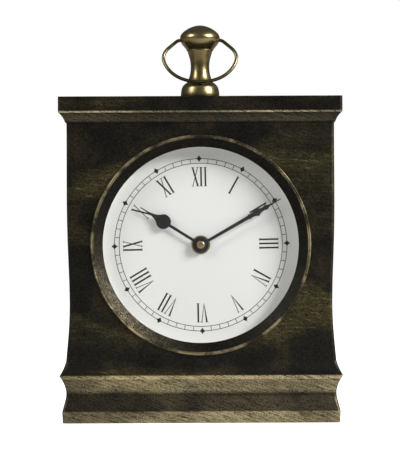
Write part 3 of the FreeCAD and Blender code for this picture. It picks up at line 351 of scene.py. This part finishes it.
# ------------------------------------------------------------------ materials
PATINA_PIT = (0.008, 0.008, 0.007)
PATINA_DARK = (0.030, 0.028, 0.024)
PATINA_BROWN = (0.065, 0.048, 0.026)
PATINA_OLIVE = (0.140, 0.120, 0.042)
# brass colour of rubbed wear, also used for a painted reflection on the plinth and painted highlights on the
# bezel
BRASS_WEAR_AND_PAINTED_LIGHT = (0.70, 0.575, 0.33)
SHEEN = (0.55, 0.50, 0.40)      # tint of the castings' shine at a slant
RIDGE_HEIGHT = 37.7 * MM        # of the plinth's ridge above its foot
EDGE_FADE = 3 * MM
FOOT_SHADE_FADE = 24 * MM              # painted shade: brass rubbing and olive fade in over this height above a casting's foot, which stays darker
TOP_FADE = 12 * MM              # and fade out over this height below its top
WORN_SHIFT = 4.3                # slides the pattern of worn patches over the castings
EDGE_WORN = 0.6                 # how much brass edges show, before the speckle
EDGE_REACH = 1.2 * MM
OLIVE_SHARE = 0.62              # most olive in a rubbed patch
PLINTH_RUBBING = 0.22
CORNICE_RUBBING = 0.16
BODY_RUBBING = 0.20
LIP_START = 3.0 * MM            # in from the bezel's rim; brass on the rim bead, partly rubbed, partly a painted highlight
LIP_FULL = 1.8 * MM
HIGHLIGHT_LOWER_LEFT_START = -0.07        # painted highlight on the bezel's lower left, bounded by x + z about the dial's centre, in metres
HIGHLIGHT_LOWER_LEFT_FULL = -0.13
FITTING_SHINE = 0.75
BOW_SHINE = 0.40
HAND_GREY = 0.010
INK_GREY = 0.008
COPPER_SHOULDER = 14.0 * MM     # of the battery's sleeve, in from its positive end
SHOULDER_FADE = 0.2 * MM
POSITIVE_TIP = 1.3 * MM         # bare metal at the battery's ends
NEGATIVE_TIP = 0.5 * MM
TIP_FADE = 0.1 * MM
CREASE_ANGLE = 28               # degrees; shading is split along sharper edges


def antique_casting(name, rubbing, edge_range, bands=()):
    """Near-black patina over brass colour, brushed along the casting and rubbed through in places.

    rubbing is how much brass shows on open surfaces, and edge_range the heights between which the
    casting is rubbed and its edges are worn; above the low end the rubbing fades in as painted shade,
    darker towards the foot, and it fades out below the top. Each band is (low, high, amount, fade): a
    height range over which brass shows, rubbed through except below the plinth's ridge, where it is a
    painted reflection of the floor, fading out over a distance at its ends.
    """
    n = Nodes(name)
    streaks = n.noise(1.0, 5, 0.65, vector=n.stretched(32, 32, 560))
    hatch = n.noise(1.0, 4, 0.65, vector=n.slanted(-18, 90, 1300))
    wide = n.noise(1.0, 3, 0.5, 0.6, vector=n.stretched(8, 8, 22, WORN_SHIFT))
    mottle = n.noise(28, 4, 0.55, 0.3)
    patch = n.noise(11, 2, 0.5)
    grain = n.noise(900, 3, 0.7)
    speckle = n.noise(950, 4, 0.8)
    colour = n.mix(n.step(mottle, 0.44, 0.70, 0.0, 0.7), PATINA_DARK, PATINA_BROWN)
    height = n.part(n.place, 2)
    low, high = edge_range
    # painted shade: rubbing and olive fade out towards the foot of a casting; they also fade out below its
    # top
    foot_shade_top_fade = n.math("MULTIPLY", n.step(height, low, low + FOOT_SHADE_FADE), n.step(height, high, high - TOP_FADE))
    rubbed_patches_shaded = n.math("MULTIPLY", n.step(wide, 0.45, 0.70), foot_shade_top_fade)
    colour = n.mix(n.math("MULTIPLY", rubbed_patches_shaded, OLIVE_SHARE), colour, PATINA_OLIVE)
    brush = n.step(n.math("ADD", streaks, hatch), 0.98, 1.30)
    wear_and_painted_light = n.math("MULTIPLY", n.math("MULTIPLY", brush, rubbed_patches_shaded), rubbing)
    patchy = n.step(n.math("ADD", n.math("MULTIPLY", wide, 0.6), n.math("MULTIPLY", patch, 0.6)),
                    0.48, 0.72, 0.40, 1.0)
    for band_low, band_high, amount, fade in bands:
        rise = n.step(height, band_low, band_low + fade)
        fall = n.step(height, band_high, band_high - fade)
        band = n.math("MULTIPLY", n.math("MULTIPLY", rise, fall), patchy)
        wear_and_painted_light = n.math("MAXIMUM", wear_and_painted_light, n.math("MULTIPLY", band, amount))
    exposed = n.math("MULTIPLY", n.step(height, low, low + EDGE_FADE),
                     n.step(height, high, high - EDGE_FADE))
    edge = n.math("MULTIPLY", n.edges(EDGE_REACH), n.step(n.math("ADD", mottle, streaks), 0.85, 1.2))
    wear_and_painted_light = n.math("MAXIMUM", wear_and_painted_light, n.math("MULTIPLY", n.math("MULTIPLY", edge, exposed), EDGE_WORN))
    coarse = n.math("ADD", n.math("MULTIPLY", speckle, 0.7), n.math("MULTIPLY", hatch, 0.6))
    wear_and_painted_light = n.math("MULTIPLY", wear_and_painted_light, n.step(coarse, 0.50, 0.80, 0.05, 1.9))
    colour = n.mix(n.step(speckle, 0.58, 0.40, 0.0, 0.75), colour, PATINA_PIT)
    colour = n.mix(n.math("MINIMUM", wear_and_painted_light, 1.0), colour, BRASS_WEAR_AND_PAINTED_LIGHT)
    roughness = n.math("ADD", n.step(mottle, 0.3, 0.7, 0.40, 0.52), n.step(grain, 0.2, 0.8, -0.06, 0.06))
    height_map = n.math("ADD", n.math("MULTIPLY", speckle, 0.5), n.math("MULTIPLY", hatch, 0.5))
    return n.principled(Base_Color=colour, Metallic=1.0, Roughness=roughness, Specular_Tint=SHEEN,
                        Normal=n.bump(height_map, 0.10 * MM, 0.6))


def antique_bezel():
    """Dark patina with fine circular brushing; brass on its lip, partly rubbed and partly a painted
    highlight, and brass specks in the lower left as a painted highlight.
    """
    n = Nodes("antique_bezel")
    offset = n.put("VectorMath", {0: n.place, 1: tuple(DIAL_CENTRE)}, operation="SUBTRACT").outputs[0]
    x, z = n.part(offset, 0), n.part(offset, 2)
    radius = n.math("SQRT", n.math("ADD", n.math("MULTIPLY", x, x), n.math("MULTIPLY", z, z)))
    around = n.math("ARCTAN2", x, z)
    polar = n.put("CombineXYZ", {0: n.math("MULTIPLY", radius, 900.0), 1: n.math("MULTIPLY", around, 2.2),
                                 2: 0.0}).outputs[0]
    rings = n.noise(1.0, 5, 0.6, vector=polar)
    mottle = n.noise(70, 5, 0.6, 0.4)
    speckle = n.noise(1300, 4, 0.8)
    colour = n.mix(n.step(mottle, 0.35, 0.7, 0.0, 0.4), PATINA_DARK, PATINA_BROWN)
    colour = n.mix(n.step(speckle, 0.62, 0.44, 0.15, 1.0), colour, PATINA_PIT)
    # brass on the rim bead: partly rubbed, partly a painted highlight
    lip_wear_and_highlight = n.step(radius, BEZEL_RADIUS - LIP_START, BEZEL_RADIUS - LIP_FULL)
    # painted highlight: brass specks on the lower left of the funnel, which faces the light
    highlight_lower_left = n.step(n.math("ADD", x, z), HIGHLIGHT_LOWER_LEFT_START, HIGHLIGHT_LOWER_LEFT_FULL)
    painted_highlight_specks = n.math("MULTIPLY", highlight_lower_left, n.step(speckle, 0.50, 0.66, 0.0, 0.25))
    colour = n.mix(painted_highlight_specks, colour, BRASS_WEAR_AND_PAINTED_LIGHT)
    colour = n.mix(n.math("MULTIPLY", lip_wear_and_highlight, n.step(mottle, 0.42, 0.64, 0.04, 0.42)), colour, BRASS_WEAR_AND_PAINTED_LIGHT)
    return n.principled(Base_Color=colour, Metallic=1.0, Roughness=n.step(rings, 0.2, 0.8, 0.46, 0.60),
                        Specular_Tint=SHEEN, Normal=n.bump(rings, 0.05 * MM, 0.5))


def polished_brass(name, shine):
    """Antique brass, polished on its swells and darker in its hollows; shine scales its brightness."""
    n = Nodes(name)
    mottle = n.noise(120, 5, 0.6)
    cloud = n.noise(45, 3, 0.5)
    turning = n.noise(1.0, 4, 0.6, vector=n.stretched(60, 60, 2600))
    colour = n.mix(n.step(cloud, 0.3, 0.75), (0.27, 0.21, 0.09), (0.46, 0.37, 0.18))
    hollow = n.put("AmbientOcclusion", {"Distance": 12 * MM}, samples=SHADER_SAMPLES).outputs["AO"]
    colour = n.mix(n.step(hollow, 0.95, 0.45, 0.0, 0.75), colour, (0.14, 0.10, 0.045))
    colour = n.mix(n.step(mottle, 0.60, 0.78, 0.0, 0.35), colour, (0.26, 0.19, 0.085))
    colour = n.mix(shine, PATINA_DARK, colour)
    return n.principled(Base_Color=colour, Metallic=1.0, Roughness=n.step(mottle, 0.3, 0.8, 0.27, 0.38),
                        Normal=n.bump(turning, 0.03 * MM, 0.4))


def brass_fittings():
    n = Nodes("brass_fittings")
    scuffs = n.noise(300, 5, 0.65)
    colour = n.mix(n.step(scuffs, 0.4, 0.75), (0.40, 0.31, 0.16), (0.26, 0.20, 0.10))
    return n.principled(Base_Color=colour, Metallic=1.0, Roughness=n.step(scuffs, 0.3, 0.8, 0.36, 0.52),
                        Normal=n.bump(scuffs, 0.02 * MM, 0.4))


def zinc_steel():
    n = Nodes("zinc_steel")
    spangle = n.noise(500, 4, 0.6)
    colour = n.mix(n.step(spangle, 0.35, 0.7), (0.56, 0.57, 0.57), (0.42, 0.42, 0.40))
    return n.principled(Base_Color=colour, Metallic=1.0, Roughness=n.step(spangle, 0.3, 0.7, 0.28, 0.45),
                        Normal=n.bump(spangle, 0.02 * MM, 0.3))


def painted_black_steel():
    """Fine matt black powder coat, worn grey at its edges."""
    n = Nodes("black_steel")
    orange_peel = n.noise(1300, 3, 0.5)
    dust = n.noise(30, 5, 0.6)
    colour = n.mix(n.step(dust, 0.45, 0.8), (0.018, 0.017, 0.016), (0.035, 0.033, 0.030))
    colour = n.mix(n.math("MULTIPLY", n.edges(0.5 * MM), 0.5), colour, (0.16, 0.155, 0.15))
    return n.principled(Base_Color=colour, Roughness=n.step(dust, 0.3, 0.8, 0.50, 0.64),
                        Normal=n.bump(orange_peel, 0.06 * MM, 0.6))


def baize():
    n = Nodes("baize")
    fibres = n.noise(2600, 4, 0.8, 1.5)
    cloud = n.noise(60, 3)
    colour = n.mix(n.step(fibres, 0.3, 0.7), (0.010, 0.045, 0.022), (0.030, 0.110, 0.055))
    colour = n.mix(n.step(cloud, 0.4, 0.8, 0.0, 0.4), colour, (0.012, 0.05, 0.03))
    return n.principled(Base_Color=colour, Roughness=0.95, Sheen_Weight=0.5,
                        Normal=n.bump(fibres, 0.3 * MM, 0.8))


def dark_ferrite():
    n = Nodes("magnet")
    grit = n.noise(1500, 4, 0.7)
    colour = n.mix(n.step(grit, 0.35, 0.7), (0.05, 0.05, 0.055), (0.12, 0.12, 0.125))
    return n.principled(Base_Color=colour, Metallic=0.4, Roughness=0.6, Normal=n.bump(grit, 0.05 * MM, 0.6))


def clear_glass():
    """Flat glass: seen through, with its mirror reflection stronger at a slant.

    The share reflected is the same from inside the pane as from outside, so that light which has
    entered it can leave it.
    """
    n = Nodes("clear_glass")
    ripple = n.noise(9, 2)
    normal = n.bump(ripple, 0.02 * MM, 0.2)
    through = n.put("BsdfTransparent", {"Color": (0.985, 0.99, 0.985, 1.0)}).outputs[0]
    smear = n.step(n.noise(35, 4, 0.6), 0.5, 0.8, 0.0, 0.04)
    mirror = n.put("BsdfGlossy", {"Color": (1, 1, 1, 1), "Roughness": smear, "Normal": normal}).outputs[0]
    slant = n.put("LayerWeight", {"Blend": 0.5}).outputs["Facing"]
    share = n.math("MULTIPLY_ADD", n.math("POWER", slant, 5.0), 1 - GLASS_MIRROR, GLASS_MIRROR)
    mixed = n.put("MixShader", {0: share, 1: through, 2: mirror}).outputs[0]
    return n.output(mixed)


def white_card():
    n = Nodes("white_card")
    fibre = n.noise(900, 5, 0.7)
    colour = n.mix(n.step(fibre, 0.3, 0.7), (0.74, 0.73, 0.70), (0.80, 0.79, 0.76))
    return n.principled(Base_Color=colour, Roughness=0.8, Normal=n.bump(fibre, 0.05 * MM, 0.4))


def white_dial():
    """Satin white enamel with a faint warm unevenness."""
    n = Nodes("white_dial")
    cloud = n.noise(14, 3, 0.5)
    fine = n.noise(1600, 3, 0.6)
    colour = n.mix(n.step(cloud, 0.3, 0.7), (0.79, 0.78, 0.76), (0.81, 0.80, 0.785))
    colour = n.mix(n.step(fine, 0.4, 0.8, 0.0, 0.25), colour, (0.75, 0.745, 0.73))
    return n.principled(Base_Color=colour, Roughness=0.42, Normal=n.bump(fine, 0.02 * MM, 0.3))


def black_rubber():
    n = Nodes("black_rubber")
    grain = n.noise(1200, 3)
    colour = n.mix(n.step(grain, 0.3, 0.7), (0.012, 0.012, 0.012), (0.030, 0.030, 0.030))
    return n.principled(Base_Color=colour, Roughness=0.75, Normal=n.bump(grain, 0.05 * MM, 0.5))


def black_enamel(name, grey):
    """Satin black: the hands' paint, and the dial's printing ink, which is a little darker."""
    n = Nodes(name)
    peel = n.noise(1100, 3, 0.6)
    cloud = n.noise(90, 4, 0.6)
    colour = n.mix(n.step(cloud, 0.35, 0.7), (grey, grey, grey * 1.08),
                   (grey * 1.9, grey * 1.9, grey * 2.0))
    return n.principled(Base_Color=colour, Roughness=n.step(cloud, 0.3, 0.7, 0.45, 0.58),
                        Specular_IOR_Level=0.3, Normal=n.bump(peel, 0.02 * MM, 0.4))


def black_plastic():
    n = Nodes("movement_plastic")
    spark = n.noise(1700, 3, 0.7)
    cloud = n.noise(60, 3)
    colour = n.mix(n.step(cloud, 0.35, 0.7), (0.018, 0.018, 0.020), (0.032, 0.032, 0.034))
    return n.principled(Base_Color=colour, Roughness=n.step(spark, 0.3, 0.7, 0.42, 0.58),
                        Normal=n.bump(spark, 0.05 * MM, 0.6))


def acetal():
    n = Nodes("gear_plastic")
    cloud = n.noise(250, 3)
    colour = n.mix(n.step(cloud, 0.35, 0.7), (0.74, 0.72, 0.64), (0.66, 0.64, 0.56))
    return n.principled(Base_Color=colour, Roughness=0.38, Subsurface_Weight=0.15,
                        Normal=n.bump(cloud, 0.02 * MM, 0.4))


def motor_iron():
    n = Nodes("motor_iron")
    rolled = n.noise(1.0, 4, 0.6, vector=n.stretched(400, 2500, 2500))
    colour = n.mix(n.step(rolled, 0.3, 0.7), (0.42, 0.41, 0.40), (0.30, 0.29, 0.28))
    return n.principled(Base_Color=colour, Metallic=1.0, Roughness=0.4,
                        Normal=n.bump(rolled, 0.02 * MM, 0.5))


def copper_wire():
    """Close turns of enamelled wire round an axis along X."""
    n = Nodes("copper_wire")
    turns = n.put("TexWave", {"Vector": n.place, "Scale": 1100.0, "Distortion": 0.6, "Detail": 2.0},
                  wave_type="BANDS", bands_direction="X").outputs["Fac"]
    colour = n.mix(turns, (0.16, 0.05, 0.02), (0.62, 0.24, 0.10))
    return n.principled(Base_Color=colour, Metallic=0.9, Roughness=0.35,
                        Normal=n.bump(turns, 0.08 * MM, 0.8))


def circuit_laminate():
    n = Nodes("circuit_laminate")
    weave = n.put("TexVoronoi", {"Vector": n.place, "Scale": 900.0}).outputs["Distance"]
    tracks = n.noise(1.0, 1, 0.2, vector=n.stretched(420, 1, 60))
    colour = n.mix(n.step(weave, 0.1, 0.6), (0.010, 0.11, 0.045), (0.018, 0.16, 0.07))
    colour = n.mix(n.step(tracks, 0.54, 0.57, 0.0, 0.8), colour, (0.03, 0.24, 0.10))
    return n.principled(Base_Color=colour, Roughness=0.3, Coat_Weight=0.4,
                        Normal=n.bump(weave, 0.02 * MM, 0.4))


def battery_sleeve():
    """Plain dark sleeve with a copper-coloured shoulder at the positive end and bare metal tips."""
    n = Nodes("battery_sleeve")
    low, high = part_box("battery")
    along = n.part(n.place, 0)
    scuffs = n.noise(180, 5, 0.65)
    colour = n.mix(n.step(scuffs, 0.3, 0.8), (0.020, 0.020, 0.024), (0.045, 0.045, 0.050))
    shoulder = high.x - COPPER_SHOULDER
    copper = n.step(along, shoulder, shoulder + SHOULDER_FADE)
    colour = n.mix(copper, colour, (0.50, 0.22, 0.09))
    positive, negative = high.x - POSITIVE_TIP, low.x + NEGATIVE_TIP
    tip = n.math("MAXIMUM", n.step(along, positive, positive + TIP_FADE),
                 n.step(along, negative, negative - TIP_FADE))
    colour = n.mix(tip, colour, (0.60, 0.60, 0.58))
    return n.principled(Base_Color=colour, Metallic=n.math("MAXIMUM", copper, tip),
                        Roughness=n.step(scuffs, 0.3, 0.8, 0.25, 0.42),
                        Normal=n.bump(scuffs, 0.02 * MM, 0.3))


def plinth_bands():
    """Where brass shows on the plinth: below its ridge as a painted reflection of the bright floor; rubbed
    through on the ridge, in the hollow and on the foot.
    """
    foot = PLINTH_LOW.z
    ridge = foot + RIDGE_HEIGHT
    # painted reflection: brass below the ridge, where the plinth's face tilts down towards the bright floor
    return [(foot + 22 * MM, ridge + 1 * MM, 0.40, 5 * MM),
            (ridge - 3.5 * MM, ridge + 0.9 * MM, 0.85, 1.2 * MM),
            (foot + 6 * MM, foot + 24 * MM, 0.08, 4 * MM),
            (foot - 4 * MM, foot + 10 * MM, 0.50, 1.2 * MM)]


def cornice_bands():
    """Where the cornice is rubbed: in its cove, and on the lip above it."""
    under = CORNICE_LOW.z
    return [(under, under + 8.5 * MM, 0.08, 1.5 * MM),
            (under + 7.2 * MM, under + 9.4 * MM, 0.80, 0.7 * MM)]


def node_materials():
    """Material of every CAD node: one for its slot, with the three castings rubbed differently."""
    by_slot = {
        "antique_bezel": antique_bezel(),
        "polished_brass": polished_brass("polished_brass", FITTING_SHINE),
        "brass_fittings": brass_fittings(), "zinc_steel": zinc_steel(),
        "black_steel": painted_black_steel(), "baize": baize(), "magnet": dark_ferrite(),
        "clear_glass": clear_glass(), "white_card": white_card(), "white_dial": white_dial(),
        "black_rubber": black_rubber(), "black_enamel": black_enamel("black_enamel", HAND_GREY),
        "movement_plastic": black_plastic(), "gear_plastic": acetal(), "motor_iron": motor_iron(),
        "copper_wire": copper_wire(), "circuit_laminate": circuit_laminate(),
        "battery_sleeve": battery_sleeve(),
    }
    plinth_edges = (PLINTH_LOW.z - EDGE_FADE, PLINTH_HIGH.z - EDGE_FADE)
    cornice_edges = (CORNICE_LOW.z + EDGE_FADE, CORNICE_HIGH.z + EDGE_FADE)
    body_edges = (CASE_LOW.z + EDGE_FADE, CASE_HIGH.z - EDGE_FADE)
    by_node = {
        "plinth": antique_casting("antique_plinth", PLINTH_RUBBING, plinth_edges, plinth_bands()),
        "cornice": antique_casting("antique_cornice", CORNICE_RUBBING, cornice_edges, cornice_bands()),
        "bow": polished_brass("bow_brass", BOW_SHINE),
        "case_body": antique_casting("antique_body", BODY_RUBBING, body_edges),
    }
    for entry in frame["record"]["subparts"]:
        name = entry["node"]
        if name not in by_node:
            by_node[name] = by_slot[entry["material_slot"]]
    return by_node


def dress_nodes():
    """Give the CAD nodes their materials, smooth shading on curves, and crisp edges."""
    for name, material in node_materials().items():
        node = frame["nodes"][name]
        for slot in node.material_slots:
            slot.material = material
        node.data.polygons.foreach_set("use_smooth", [True] * len(node.data.polygons))
        split = node.modifiers.new("crisp_edges", "EDGE_SPLIT")
        split.split_angle = math.radians(CREASE_ANGLE)


# ------------------------------------------------------------------ studio
def make_camera():
    data = bpy.data.cameras.new("camera")
    data.sensor_fit = "VERTICAL"
    data.sensor_height = SENSOR_HEIGHT
    data.lens = SENSOR_HEIGHT * CAMERA_DISTANCE / VIEW_HEIGHT
    data.clip_end = CLIP_END
    camera = bpy.data.objects.new("camera", data)
    bpy.context.collection.objects.link(camera)
    camera.location = (CAMERA_SIDE, CASE_LOW.y - CAMERA_DISTANCE, CAMERA_HEIGHT)
    camera.rotation_euler = (math.radians(90), math.radians(CAMERA_ROLL), 0)
    bpy.context.scene.camera = camera


def make_lights():
    target = Vector((0, 0, CAMERA_HEIGHT))
    for name, (place, width, height, watts) in STUDIO_LIGHTS.items():
        data = bpy.data.lights.new(name, "AREA")
        data.shape = "RECTANGLE"
        data.size = width
        data.size_y = height
        data.energy = watts
        light = bpy.data.objects.new(name, data)
        bpy.context.collection.objects.link(light)
        light.location = place
        light.rotation_euler = (target - Vector(place)).to_track_quat("-Z", "Y").to_euler()


def make_world():
    """White behind the clock, and a dim room for what the metal and the glass reflect."""
    world = bpy.data.worlds.new("studio")
    bpy.context.scene.world = world
    world.use_nodes = True
    tree = world.node_tree
    tree.nodes.clear()
    seen = tree.nodes.new("ShaderNodeLightPath").outputs["Is Camera Ray"]
    strength = tree.nodes.new("ShaderNodeMapRange")
    strength.inputs["To Min"].default_value = WORLD_LIGHT
    strength.inputs["To Max"].default_value = WORLD_SEEN
    tree.links.new(seen, strength.inputs["Value"])
    background = tree.nodes.new("ShaderNodeBackground")
    background.inputs["Color"].default_value = (1, 1, 1, 1)
    tree.links.new(strength.outputs["Result"], background.inputs["Strength"])
    output = tree.nodes.new("ShaderNodeOutputWorld")
    tree.links.new(background.outputs[0], output.inputs["Surface"])


def make_floor():
    mesh = bpy.data.meshes.new("floor")
    corners = [(-FLOOR_SIDE, -FLOOR_FRONT, 0), (FLOOR_SIDE, -FLOOR_FRONT, 0),
               (FLOOR_SIDE, FLOOR_BACK, 0), (-FLOOR_SIDE, FLOOR_BACK, 0)]
    mesh.from_pydata(corners, [], [(0, 1, 2, 3)])
    floor = bpy.data.objects.new("floor", mesh)
    bpy.context.collection.objects.link(floor)
    n = Nodes("studio_floor")
    tone = n.noise(2.0, 2)
    colour = n.mix(tone, (0.58, 0.58, 0.58), (0.62, 0.62, 0.62))
    seen = n.put("LightPath").outputs["Is Camera Ray"]
    glow = n.math("MULTIPLY_ADD", seen, FLOOR_SEEN - FLOOR_GLOW, FLOOR_GLOW)
    floor.data.materials.append(n.principled(Base_Color=colour, Roughness=0.9, Emission_Color=(1, 1, 1),
                                             Emission_Strength=glow))


def make_dial_print():
    ink = black_enamel("dial_ink", INK_GREY)
    for name, outlines in (("dial_numerals", dial_numerals()), ("dial_minute_track", minute_track()),
                           ("dial_diamonds", hour_diamonds())):
        new_piece(name, prisms(name, outlines), "case", ink)


make_camera()
make_world()
make_floor()
make_lights()
dress_nodes()
make_dial_print()
bpy.context.scene.view_settings.view_transform = "Standard"
